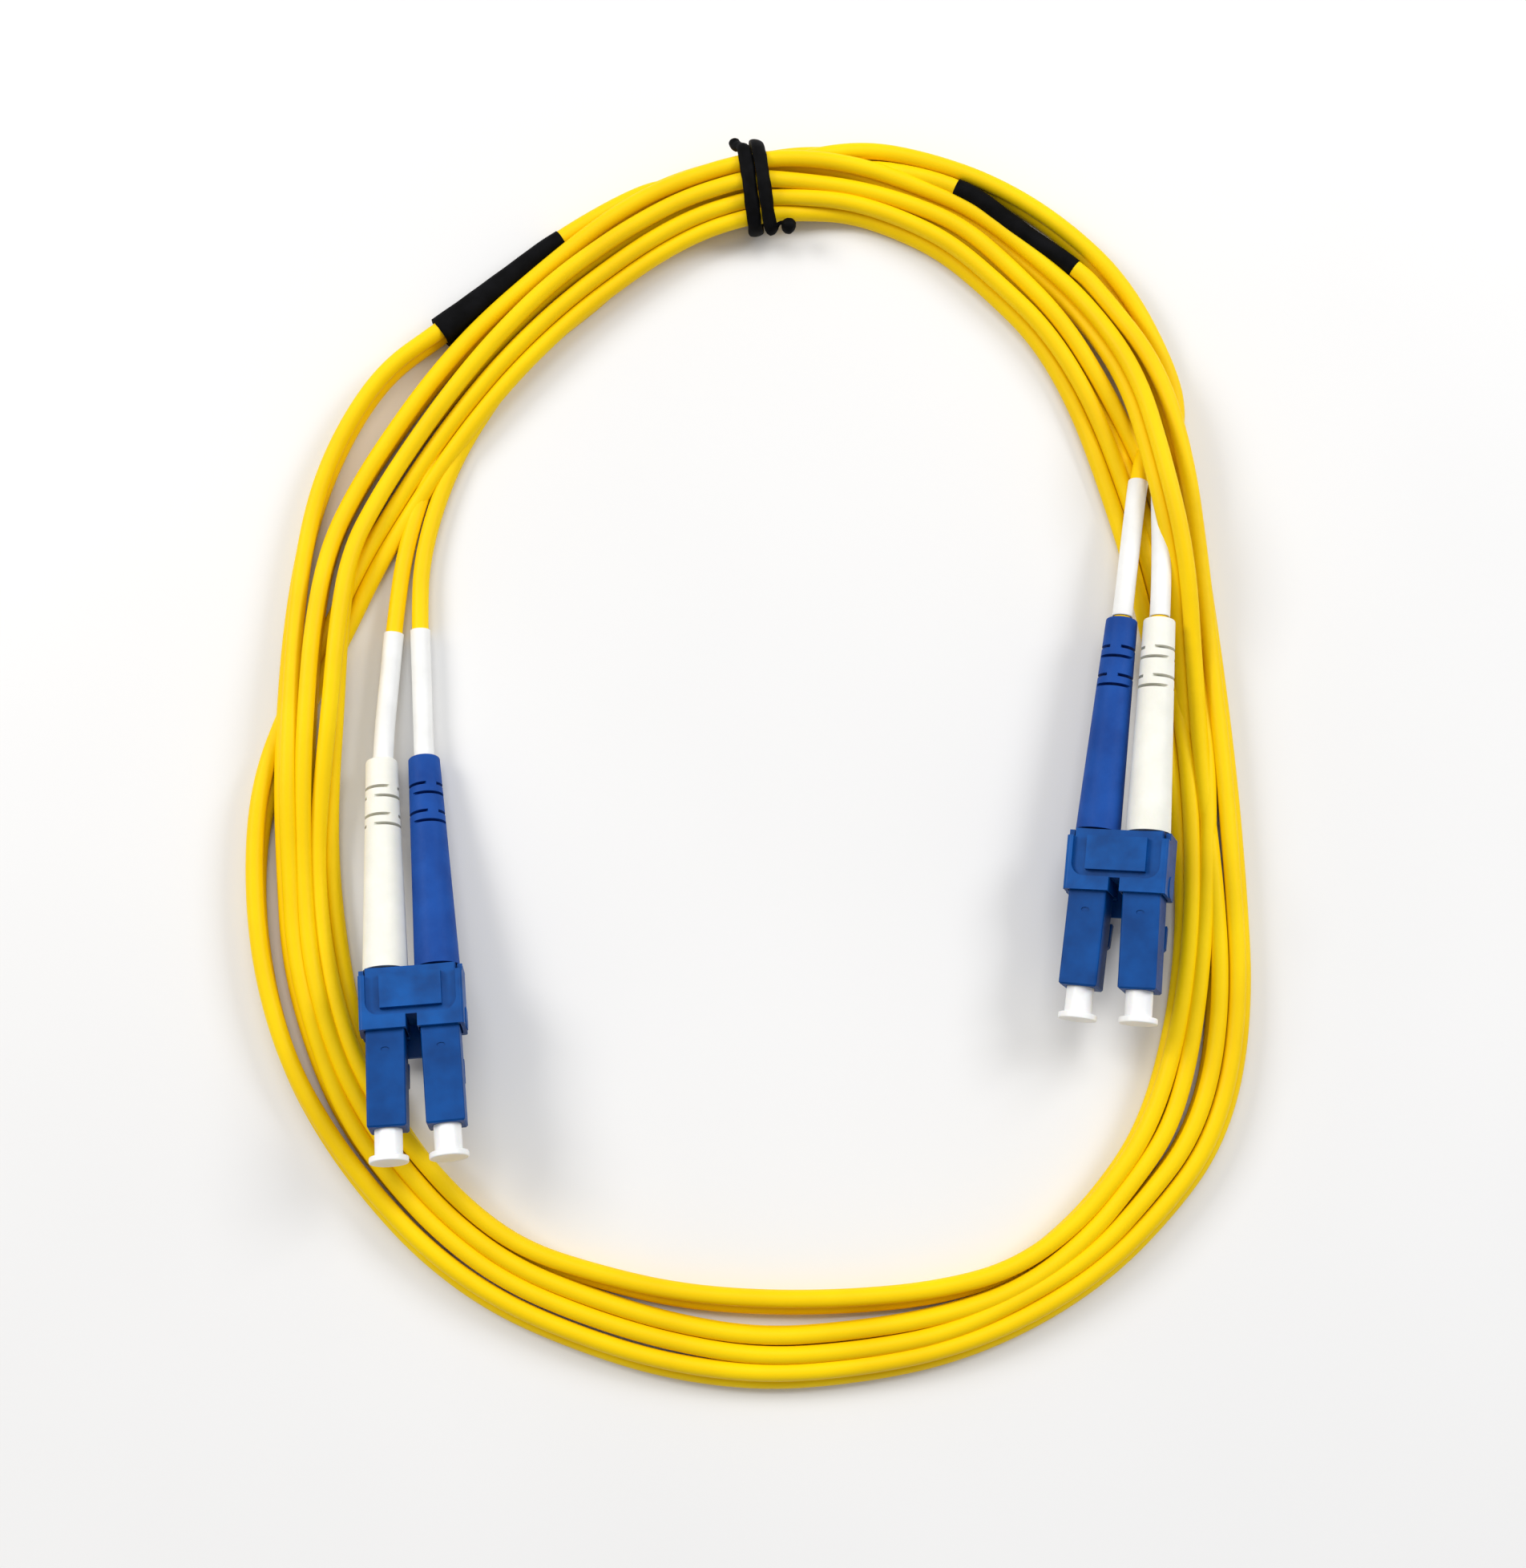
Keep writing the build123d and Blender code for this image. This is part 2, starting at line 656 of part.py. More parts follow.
def make_twist_tie():
    """Two wraps of coated wire round the bundle, with its two short ends."""
    half = tie_wraps * tie_wire_width / 2
    outside = (tie_inside[0] + 2 * tie_thickness, tie_inside[1] + 2 * tie_thickness)
    with BuildPart() as tie:
        with BuildSketch(tie_plane().offset(-half)):
            RectangleRounded(outside[0], outside[1], tie_r)
            RectangleRounded(tie_inside[0], tie_inside[1], tie_inner_r, mode=Mode.SUBTRACT)
        extrude(amount=2 * half)
        for side, first, last in tie_end_runs:
            with BuildSketch(tie_plane().offset(first)):
                with Locations((side * (tie_end_edge + tie_end_section[0] / 2), 0)):
                    RectangleRounded(tie_end_section[0], tie_end_section[1], tie_end_r)
            extrude(amount=last - first)
        neck_end = tie_end_runs[1][1]
        with BuildSketch(tie_plane().offset(-half)):
            with Locations((tie_end_edge + tie_neck[0] / 2, 0)):
                Rectangle(tie_neck[0], tie_neck[1])
        extrude(amount=neck_end + half - fit_gap)
    write(tie, "twist_tie")


def make_coil(legs, rooms):
    """Outer shape of the bundle, with room for the legs, the sleeves and the tie."""
    with BuildPart() as coil:
        with BuildSketch():
            with BuildLine():
                Spline(*coil_edge(1), periodic=True)
            make_face()
            with BuildLine():
                Spline(*coil_edge(-1), periodic=True)
            make_face(mode=Mode.SUBTRACT)
        extrude(amount=coil_height)
        chamfer(coil.faces().sort_by(Axis.Z)[-1].edges(), coil_chamfer)
        for piece in legs + rooms:
            add(piece, mode=Mode.SUBTRACT)
        for name in split_sleeves:
            with BuildSketch(split_plane(name).offset(-coil_gap)):
                RectangleRounded(split_width + 2 * coil_gap, split_height + 2 * coil_gap, split_r)
                RectangleRounded(
                    split_width - 2 * (split_wall + coil_gap),
                    split_height - 2 * (split_wall + coil_gap),
                    split_inner_r,
                    mode=Mode.SUBTRACT,
                )
            extrude(amount=split_length(name) + 2 * coil_gap, mode=Mode.SUBTRACT)
        half = tie_wraps * tie_wire_width / 2 + coil_gap
        with BuildSketch(tie_plane().offset(-half)):
            Rectangle(2 * tie_inside[0], 2 * tie_inside[1])
            RectangleRounded(
                tie_inside[0] - 2 * coil_gap,
                tie_inside[1] - 2 * coil_gap,
                tie_inner_r,
                mode=Mode.SUBTRACT,
            )
        extrude(amount=2 * half, mode=Mode.SUBTRACT)
    write(coil, "cord_coil")


legs = []
rooms = []
for end, place in (("end_a", end_a), ("end_b", end_b)):
    clip = connector_frame(**place)
    colours = ("white", "blue") if end == "end_a" else ("blue", "white")
    plugs = []
    for side, colour in zip((-1, 1), colours):
        name = f"{end}_{colour}"
        frame = plug_frame(clip, side, place["splay"])
        plugs.append(frame)
        make_housing(frame, name)
        make_ferrule(frame, name)
        make_ferrule_flange(frame, name)
        make_fibre(frame, name)
        make_spring(frame, name)
        make_rear_body(frame, name)
        make_crimp_ring(frame, name)
        make_boot(frame, name)
        make_latch(frame, name)
        make_dust_cap(frame, name)
        path = leg_path(frame, leg_routes[name])
        legs.append(make_leg(path, name))
        make_label_sleeve(path, name)
        rooms.append(label_room(path, name))
    make_clip(clip, plugs, end)
    make_trigger(clip, end)
    make_split_sleeve(end)
make_twist_tie()
make_coil(legs, rooms)
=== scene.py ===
"""Looks of the coiled duplex fibre patch cord. Metres, in the same frame as the CAD model."""
import json
from math import cos, pi, radians, sin

import bpy
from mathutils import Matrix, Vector

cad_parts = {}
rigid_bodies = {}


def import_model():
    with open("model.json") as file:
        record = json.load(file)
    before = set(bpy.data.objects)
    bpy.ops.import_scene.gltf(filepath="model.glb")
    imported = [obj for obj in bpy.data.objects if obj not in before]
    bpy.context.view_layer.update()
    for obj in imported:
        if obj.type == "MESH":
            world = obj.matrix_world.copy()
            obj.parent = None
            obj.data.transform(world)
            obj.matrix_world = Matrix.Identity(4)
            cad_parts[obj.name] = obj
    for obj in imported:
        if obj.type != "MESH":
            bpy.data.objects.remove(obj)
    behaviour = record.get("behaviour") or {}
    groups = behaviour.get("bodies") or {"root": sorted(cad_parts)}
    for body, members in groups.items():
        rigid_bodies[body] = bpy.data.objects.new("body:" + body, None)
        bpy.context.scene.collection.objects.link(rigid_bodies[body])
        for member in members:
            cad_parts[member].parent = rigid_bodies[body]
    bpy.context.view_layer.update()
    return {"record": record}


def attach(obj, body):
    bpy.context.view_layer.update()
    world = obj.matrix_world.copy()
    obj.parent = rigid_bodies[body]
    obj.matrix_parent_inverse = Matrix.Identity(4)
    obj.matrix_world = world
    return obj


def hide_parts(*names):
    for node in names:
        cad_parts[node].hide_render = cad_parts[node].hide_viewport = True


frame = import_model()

# Lengths are in millimetres until they are multiplied by MM, but those named _M are in metres.
MM = 0.001
STRAND_D = 2.1
TWIN_STEP = 1.05  # half the distance between the middles of the two strands of a pair
LINE_RESOLUTION = 12

# ---------------------------------------------------------------- camera
CAMERA_LENS = 50
CAMERA_SENSOR = 36
CAMERA_NEAR_M = 0.005
CAMERA_PLACE_M = (-0.0006, -0.0334, 0.2659)
CAMERA_TILT = 10

camera_data = bpy.data.cameras.new("camera")
camera_data.lens = CAMERA_LENS
camera_data.sensor_width = CAMERA_SENSOR
camera_data.clip_start = CAMERA_NEAR_M
camera = bpy.data.objects.new("camera", camera_data)
camera.location = CAMERA_PLACE_M
camera.rotation_euler = (radians(CAMERA_TILT), 0, 0)
bpy.context.scene.collection.objects.link(camera)
bpy.context.scene.camera = camera
bpy.context.scene.view_settings.view_transform = "Standard"

# ---------------------------------------------------------------- connector frames, as in the CAD model
ENDS = {
    "end_a": dict(centre=(-42.05, -14.0, 7.7), yaw=5.6, pitch=10.5, roll=-4.0, splay=1.0),
    "end_b": dict(centre=(42.25, 2.4, 7.1), yaw=-6.7, pitch=2.5, roll=20.0, splay=1.5),
}
PLUG_SIDE = {"end_a_white": -1, "end_a_blue": 1, "end_b_blue": -1, "end_b_white": 1}
PLUG_PITCH = 6.25
CLIP_BACK = 15.15  # from the middle of the clip forward to the plug's nose
BOOT_TAIL = -45.9  # from the nose back to the end of the boot


def boot_tail(name):
    """Middle of a boot's tail and the direction from it to the nose."""
    place = ENDS[name[:5]]
    turn, lift, lean = radians(place["yaw"]), radians(place["pitch"]), radians(place["roll"])
    nose = Vector((sin(turn) * cos(lift), -cos(turn) * cos(lift), sin(lift)))
    level = Vector((cos(turn), sin(turn), 0))
    across = level * cos(lean) + nose.cross(level) * sin(lean)
    side = PLUG_SIDE[name]
    angle = radians(place["splay"]) * side
    direction = nose * cos(angle) + across * sin(angle)
    front = Vector(place["centre"]) + across * (side * PLUG_PITCH / 2) + direction * CLIP_BACK
    return front + direction * BOOT_TAIL, direction


# ---------------------------------------------------------------- coil
# The middle of the bundle, x and y at each station on the way round.
COIL = [
    (-1.5, 90.7), (11.9, 92.1), (26.4, 87.2), (39.2, 73.7), (48.1, 52.8), (53.3, 27.5), (54.8, 0.0),
    (52.3, -22.0), (45.2, -36.5), (30.1, -48.0), (10.1, -52.5), (-11.6, -52.3), (-30.6, -46.1),
    (-44.6, -34.5), (-54.2, -19.0), (-58.4, 2.5), (-57.4, 22.5), (-53.8, 42.3), (-47.1, 57.0),
    (-35.9, 71.7), (-21.0, 83.7), (-11.0, 88.8),
]
STATIONS = len(COIL)
STEP = 0.5


def bundle(s):
    """Point on the middle of the bundle at station s, and the direction outwards there."""
    index = int(s // 1)
    t = s - index
    a, b, c, d = (Vector(COIL[(index + k) % STATIONS]) for k in (-1, 0, 1, 2))
    bend, curl = a * 2 - b * 5 + c * 4 - d, b * 3 - a - c * 3 + d
    point = (b * 2 + (c - a) * t + bend * t ** 2 + curl * t ** 3) / 2
    along = ((c - a) + bend * (2 * t) + curl * (3 * t ** 2)).normalized()
    return point, Vector((-along.y, along.x))


def between(keys, s):
    """Values of the listed keys at station s, straight between neighbours."""
    for first, second in zip(keys, keys[1:]):
        if s <= second[0]:
            part = max(0.0, (s - first[0]) / (second[0] - first[0]))
            return [p + (q - p) * part for p, q in zip(first[1:], second[1:])]
    return list(keys[-1][1:])


# Each key: station, offset of the pair from the middle of the bundle (outwards +), tilt of the
# pair in degrees (0 = white strand outside, 90 = white strand on top), height of what lies below.
LEAD_IN = [
    (19.5, -4.6, 180, 0), (20.0, -3.6, 180, 0), (21.0, -2.6, 180, 0), (22.0, -1.6, 180, 0.5),
    (22.5, 0.6, 175, 0.2), (23.0, 2.6, 140, 0),
]
TURNS = [
    [
        (3.0, 4.0, 90, 0.6), (3.3, 4.7, 90, 1.8), (3.6, 5.1, 90, 2.1), (4.0, 4.2, 92, 1.8),
        (4.4, 3.2, 98, 0.4), (4.85, 2.2, 110, 0), (5.35, 1.9, 116, 0), (5.9, 2.1, 118, 0),
        (6.4, 3.0, 118, 0), (7.0, 3.4, 118, 0), (7.5, 3.1, 115, 0), (7.9, 2.5, 112, 0), (8.7, 2.6, 112, 0),
        (9.25, 2.9, 114, 0), (9.65, 4.1, 116, 0), (10.5, 4.4, 118, 0), (11.0, 3.8, 118, 0),
        (11.5, 3.2, 116, 0), (12.0, 3.1, 116, 0), (13.0, 3.1, 110, 0), (13.65, 3.3, 104, 0),
        (14.4, 4.3, 96, 0), (15.05, 4.1, 90, 0), (15.5, 3.3, 70, 0), (15.85, 2.0, 30, 0),
        (16.3, -1.0, 10, 0), (16.7, -3.2, 6, 0), (17.4, -5.0, 6, 0), (18.1, -5.6, 8, 0.6),
        (18.85, -5.9, 16, 1.7), (19.6, -5.0, 24, 1.85), (20.5, -4.3, 28, 1.85), (21.2, -3.5, 26, 1.85),
        (22.0, -2.8, 22, 2.35),
    ],
    [
        (0.5, -3.3, 50, 1.0), (1.05, -4.0, 64, 0), (1.6, -5.1, 62, 0), (2.23, -5.6, 62, 0),
        (2.6, -5.6, 62, 0), (2.9, -5.0, 58, 0), (3.2, -4.7, 52, 0), (3.5, -4.5, 40, 0), (3.9, -4.5, 20, 0),
        (4.3, -4.3, 4, 0), (4.8, -3.9, 4, 0), (5.3, -3.7, 20, 0), (5.8, -3.5, 60, 0), (6.15, -3.6, 75, 0),
        (6.8, -4.3, 78, 0), (7.3, -4.7, 82, 0), (7.8, -4.5, 86, 0), (8.25, -4.3, 88, 0),
        (8.62, -3.4, 92, 0), (8.9, -3.1, 100, 0), (9.57, -3.3, 114, 0), (10.45, -4.1, 116, 0),
        (11.03, -4.3, 116, 0), (11.5, -4.2, 112, 0), (12.1, -3.5, 105, 0), (13.0, -3.9, 96, 0),
        (13.9, -4.3, 65, 0), (14.3, -4.2, 48, 0), (14.68, -4.3, 38, 0), (15.03, -4.2, 48, 0),
        (15.43, -4.3, 66, 0.6), (16.1, -3.9, 82, 2.1), (16.5, -3.0, 90, 2.1), (16.95, -1.8, 100, 1.0),
        (17.5, -1.9, 104, 0), (18.0, -2.1, 104, 0), (18.8, -2.5, 96, 1.2), (19.6, -1.4, 90, 1.85),
        (20.4, -1.1, 90, 1.85), (21.0, -0.5, 90, 1.85), (22.0, 0.3, 90, 2.3),
    ],
    [
        (0.5, -0.8, 84, 1.0), (1.02, -1.8, 76, 0), (1.55, -2.5, 75, 0), (2.08, -2.6, 75, 0),
        (2.73, -3.0, 75, 0), (2.98, -2.4, 70, 0), (3.27, -2.4, 64, 0), (3.52, -2.0, 50, 0),
        (3.75, -1.6, 28, 0), (4.12, -1.0, 4, 0), (4.6, -0.6, 0, 0), (5.2, -0.8, 30, 0), (5.7, -1.4, 70, 0),
        (6.15, -1.8, 90, 0), (6.78, -2.3, 90, 0), (7.3, -2.1, 90, 0), (7.7, -2.4, 90, 0),
        (8.15, -2.5, 90, 0), (8.6, -1.4, 90, 0), (9.0, -0.9, 90, 0), (9.62, -0.5, 90, 0),
        (10.45, -0.2, 90, 0), (10.97, -1.1, 90, 0), (11.45, -1.7, 90, 0), (12.03, -1.6, 90, 0),
        (13.0, -1.8, 90, 0), (13.95, -2.1, 88, 0), (14.32, -1.8, 86, 0), (14.68, -1.8, 86, 0),
        (15.03, -2.0, 88, 0.2), (15.5, -1.7, 90, 1.4), (16.1, -0.7, 92, 2.1), (16.5, 0.2, 96, 1.6),
        (16.9, 1.1, 100, 0.6), (17.4, 1.0, 102, 0), (18.0, 0.7, 98, 0), (18.7, 0.6, 94, 0.2),
        (19.3, 0.6, 90, 0.6), (20.0, 1.4, 90, 1.2), (21.0, 1.9, 90, 1.85), (22.0, 2.7, 90, 2.3),
    ],
    [
        (0.5, 2.2, 86, 1.7), (1.0, 1.0, 78, 0.9), (1.5, 0.1, 64, 0), (1.98, 0.0, 60, 0), (2.48, 0.2, 60, 0),
        (2.88, 1.0, 60, 0), (3.27, 1.9, 60, 1.6), (3.6, 1.4, 58, 3.4), (3.9, 0.5, 58, 4.9),
        (4.2, -0.4, 56, 5.2), (4.5, -0.5, 54, 4.7), (4.83, -1.2, 54, 3.0), (5.08, -1.5, 56, 1.0),
        (5.35, -1.7, 58, 0), (5.6, -1.6, 62, 0), (5.88, -1.1, 70, 0), (6.15, -0.3, 78, 0),
        (6.45, 0.2, 84, 0), (6.75, 0.8, 88, 0), (7.12, 0.7, 90, 0), (7.6, 0.4, 90, 0), (8.0, -0.1, 90, 0),
        (8.38, 0.3, 90, 0), (8.88, 0.0, 90, 0), (9.62, 1.7, 90, 0), (10.45, 2.0, 90, 0),
        (10.97, 1.0, 90, 0), (11.43, 0.4, 90, 0), (11.95, 0.4, 92, 0), (12.8, 0.4, 100, 0),
        (13.55, 0.4, 108, 0), (13.97, 0.1, 116, 0), (14.35, 0.4, 118, 0), (14.68, 0.6, 118, 0.2),
        (15.03, 0.1, 118, 0.8), (15.4, 0.4, 118, 1.9), (15.8, 1.2, 118, 2.1), (16.2, 2.2, 118, 1.0),
        (16.88, 4.0, 106, 0), (17.4, 5.2, 92, 0), (18.0, 6.1, 90, 0),
    ],
]
LEAD_OUT = [
    (20.0, 3.3, 90, 0), (20.6, 3.2, 100, 0), (21.3, 3.2, 150, 0), (22.0, 3.3, 172, 0.5),
    (22.5, 3.8, 130, 0.2), (23.0, 3.9, 92, 0), (23.7, 4.2, 90, 0), (24.2, 5.2, 90, 0), (24.6, 6.2, 86, 0),
    (25.0, 6.7, 60, 0), (25.5, 6.3, 20, 0),
]
WOUND = [(STATIONS * turn + key[0],) + key[1:] for turn, keys in enumerate(TURNS) for key in keys]

# First and last station of each stretch that follows the keys.
LEAD_IN_SPAN = (19.5, 23.0)
WOUND_SPAN = (3.0, 3 * STATIONS + 18.0)
LEAD_OUT_SPAN = (20.5, 25.5)

# Stretches given point by point from the boots at end A, and to the boots at end B.
START = {
    "white": [(-46.5, 33.9, 1.6), (-45.4, 43.3, 1.3), (-42.6, 53.4, 1.05), (-37.6, 63.4, 1.05)],
    "blue": [(-43.4, 34.1, 1.6), (-43.2, 42.5, 1.3), (-40.5, 52.7, 1.05), (-35.6, 62.2, 1.05)],
}
FINISH = {
    "white": [(52.0, 60.4, 1.1), (50.7, 56.0, 1.9), (49.3, 51.5, 3.6)],
    "blue": [(49.9, 60.8, 1.1), (48.1, 56.6, 1.9), (46.6, 52.1, 3.4)],
}
LEG_SHARES = (0.2, 0.55)  # points of a leg between the boot at end A and the first listed point
HIDDEN_A = 3.0  # how far a strand runs on inside the boot at end A
HIDDEN_B = 2.0  # the same at end B
OUT_OF_BOOT_B = 6.0  # the leg at end B is straight over this length

# Both ends of the heat-shrink sleeves, and the height of the middle of the pair in them.
SLEEVES = {
    "end_a": ((24.3, 90.8), (39.3, 79.7)),
    "end_b": ((-41.7, 71.4), (-26.5, 83.8)),
}
SLEEVE_MIDDLE = 2.35
BEFORE_SLEEVE = (-47.8, 66.5)


def pair_at(keys, s, side):
    """Where one strand of the pair runs at station s. side is +1 for white and -1 for blue."""
    offset, tilt, below = between(keys, s)
    middle, out = bundle(s)
    lean = radians(tilt)
    height = STRAND_D / 2 + below + TWIN_STEP * (abs(sin(lean)) + side * sin(lean))
    across = offset + side * TWIN_STEP * cos(lean)
    return Vector((middle.x + out.x * across, middle.y + out.y * across, height))


def wound(keys, side, span):
    """Points every half station, from the first to the last of the span."""
    first, last = span
    return [pair_at(keys, first + k * STEP, side) for k in range(round((last - first) / STEP) + 1)]


def in_sleeve(end, side):
    """The straight stretch inside a heat-shrink sleeve, with one strand over the other."""
    (x1, y1), (x2, y2) = SLEEVES[end]
    height = SLEEVE_MIDDLE + side * TWIN_STEP
    return [Vector((x1 + (x2 - x1) * t, y1 + (y2 - y1) * t, height)) for t in (0.0, 0.5, 1.0)]


def route(colour):
    """All the points that one strand passes through, from the boot at end A to the boot at end B."""
    side = 1 if colour == "white" else -1
    tail, nose = boot_tail(f"end_a_{colour}")
    first = Vector(START[colour][0])
    points = [tail + nose * HIDDEN_A] + [tail.lerp(first, share) for share in LEG_SHARES]
    points += [Vector(p) for p in START[colour]]
    points += wound(LEAD_IN, side, LEAD_IN_SPAN)
    points += in_sleeve("end_a", side)
    points += wound(WOUND, side, WOUND_SPAN)
    points.append(Vector((*BEFORE_SLEEVE, SLEEVE_MIDDLE + side * TWIN_STEP)))
    points += in_sleeve("end_b", side)
    points += wound(LEAD_OUT, side, LEAD_OUT_SPAN)
    points += [Vector(p) for p in FINISH[colour]]
    tail, nose = boot_tail(f"end_b_{colour}")
    return points + [tail - nose * OUT_OF_BOOT_B, tail + nose * HIDDEN_B]


def spline_curve(name, points, resolution):
    """A curve with one smooth spline of order 3 over control points in metres."""
    curve = bpy.data.curves.new(name, "CURVE")
    curve.dimensions = "3D"
    curve.resolution_u = resolution
    spline = curve.splines.new("NURBS")
    spline.points.add(len(points) - 1)
    for control, point in zip(spline.points, points):
        control.co = (*point, 1)
    spline.order_u = 3
    spline.use_endpoint_u = True
    return curve


def points_along(curve):
    """Points along the spline of a curve without bevel. The curve itself is removed."""
    holder = bpy.data.objects.new("holder", curve)
    mesh = bpy.data.meshes.new_from_object(holder)
    points = [v.co.copy() for v in mesh.vertices]
    bpy.data.objects.remove(holder)
    bpy.data.meshes.remove(mesh)
    bpy.data.curves.remove(curve)
    return points


STRAND_RESOLUTION = 8
STRAND_ROUNDNESS = 6


def strand(colour):
    """One strand: a single smooth spline, with its control points moved out so that it meets the route."""
    points = route(colour)
    placed = [points[0]]
    for before, point, after in zip(points, points[1:], points[2:]):
        # A spline of order 3 cuts a corner by an eighth of this sum.
        placed.append(point - (before - point * 2 + after) / 8)
    placed.append(points[-1])
    controls = [(point.x * MM, point.y * MM, max(point.z, STRAND_D / 2) * MM) for point in placed]
    curve = spline_curve(f"{colour}_strand", controls, STRAND_RESOLUTION)
    curve.bevel_depth = STRAND_D / 2 * MM
    curve.bevel_resolution = STRAND_ROUNDNESS
    piece = bpy.data.objects.new(f"{colour}_strand", curve)
    bpy.context.scene.collection.objects.link(piece)
    return piece


def centreline(piece):
    """Points along a strand's own spline, read from it without its bevel."""
    bare = piece.data.copy()
    bare.bevel_depth = 0
    bare.resolution_u = LINE_RESOLUTION
    return points_along(bare)


strands = {colour: strand(colour) for colour in ("white", "blue")}
lines = {colour: centreline(piece) for colour, piece in strands.items()}


def new_piece(name, vertices, faces):
    """A smooth-shaded mesh in the scene."""
    mesh = bpy.data.meshes.new(name)
    mesh.from_pydata(vertices, [], faces)
    mesh.validate()
    mesh.update()
    mesh.polygons.foreach_set("use_smooth", [True] * len(mesh.polygons))
    piece = bpy.data.objects.new(name, mesh)
    bpy.context.scene.collection.objects.link(piece)
    return piece


def skin(name, rings, capped=False):
    """A surface through rings of points, all with the same number of points."""
    count = len(rings[0])
    vertices = [p for ring in rings for p in ring]
    faces = []
    for r in range(len(rings) - 1):
        here, there = r * count, (r + 1) * count
        for k in range(count):
            n = (k + 1) % count
            faces.append((here + k, here + n, there + n, there + k))
    if capped:
        faces.append(tuple(range(count))[::-1])
        faces.append(tuple(range(len(vertices) - count, len(vertices))))
    return new_piece(name, vertices, faces)


def cut_out(points, start, end):
    """The stretch of a line between the points of it nearest to start and to end."""
    first = min(range(len(points)), key=lambda k: (points[k] - start).length)
    last = min(range(len(points)), key=lambda k: (points[k] - end).length)
    return points[min(first, last):max(first, last) + 1]


NO_LENGTH = 1e-9


def resampled(points, count):
    """Evenly spaced points on a line, with the directions there."""
    lengths = [0.0]
    for a, b in zip(points, points[1:]):
        lengths.append(lengths[-1] + (b - a).length)
    out, k = [], 0
    for j in range(count):
        target = lengths[-1] * j / (count - 1)
        while k < len(points) - 2 and lengths[k + 1] < target:
            k += 1
        span = max(lengths[k + 1] - lengths[k], NO_LENGTH)
        out.append(points[k].lerp(points[k + 1], (target - lengths[k]) / span))
    ways = [(out[min(j + 1, count - 1)] - out[max(j - 1, 0)]).normalized() for j in range(count)]
    return out, ways


# ---------------------------------------------------------------- materials
SLOW_DETAIL = 3
FINE_DETAIL = 4
DARK_TO_LIGHT = (0.3, 0.7)  # where the slow colour change starts and ends on its noise
RELIEF_M = 0.00005
COAT_ROUGHNESS = 0.25
UNDER_SKIN_M = (0.0012, 0.0008, 0.0004)


def material(name, build):
    """A node material, filled in by the build function of a look."""
    made = bpy.data.materials.new(name)
    made.use_nodes = True
    nodes, links = made.node_tree.nodes, made.node_tree.links
    shader = nodes["Principled BSDF"]
    build(nodes, links, shader)
    return made


def socket(shader, name, value):
    shader.inputs[name].default_value = value


def mottled(dark, light, scale, rough, bump, fine, gloss=0.5, coat=0.0, subsurface=0.0):
    """Moulded or extruded plastic: slow colour change, uneven gloss and a fine surface texture."""

    def build(nodes, links, shader):
        place = nodes.new("ShaderNodeTexCoord")
        slow = nodes.new("ShaderNodeTexNoise")
        slow.inputs["Scale"].default_value = scale
        slow.inputs["Detail"].default_value = SLOW_DETAIL
        links.new(place.outputs["Object"], slow.inputs["Vector"])
        ramp = nodes.new("ShaderNodeValToRGB")
        for stop, position, colour in zip(ramp.color_ramp.elements, DARK_TO_LIGHT, (dark, light)):
            stop.position = position
            stop.color = (*colour, 1)
        links.new(slow.outputs["Fac"], ramp.inputs["Fac"])
        links.new(ramp.outputs["Color"], shader.inputs["Base Color"])
        grain = nodes.new("ShaderNodeTexNoise")
        grain.inputs["Scale"].default_value = fine
        grain.inputs["Detail"].default_value = FINE_DETAIL
        links.new(place.outputs["Object"], grain.inputs["Vector"])
        gloss_range = nodes.new("ShaderNodeMapRange")
        gloss_range.inputs["To Min"].default_value, gloss_range.inputs["To Max"].default_value = rough
        links.new(grain.outputs["Fac"], gloss_range.inputs["Value"])
        links.new(gloss_range.outputs["Result"], shader.inputs["Roughness"])
        relief = nodes.new("ShaderNodeBump")
        relief.inputs["Strength"].default_value = bump
        relief.inputs["Distance"].default_value = RELIEF_M
        links.new(grain.outputs["Fac"], relief.inputs["Height"])
        links.new(relief.outputs["Normal"], shader.inputs["Normal"])
        socket(shader, "Specular IOR Level", gloss)
        if coat:
            socket(shader, "Coat Weight", coat)
            socket(shader, "Coat Roughness", COAT_ROUGHNESS)
        if subsurface:
            socket(shader, "Subsurface Weight", subsurface)
            socket(shader, "Subsurface Radius", UNDER_SKIN_M)

    return build


def metal(colour, rough):
    """Plain metal with an uneven gloss."""

    def build(nodes, links, shader):
        mottled(colour, colour, scale=300, rough=rough, bump=0.15, fine=2500)(nodes, links, shader)
        socket(shader, "Metallic", 1.0)

    return build


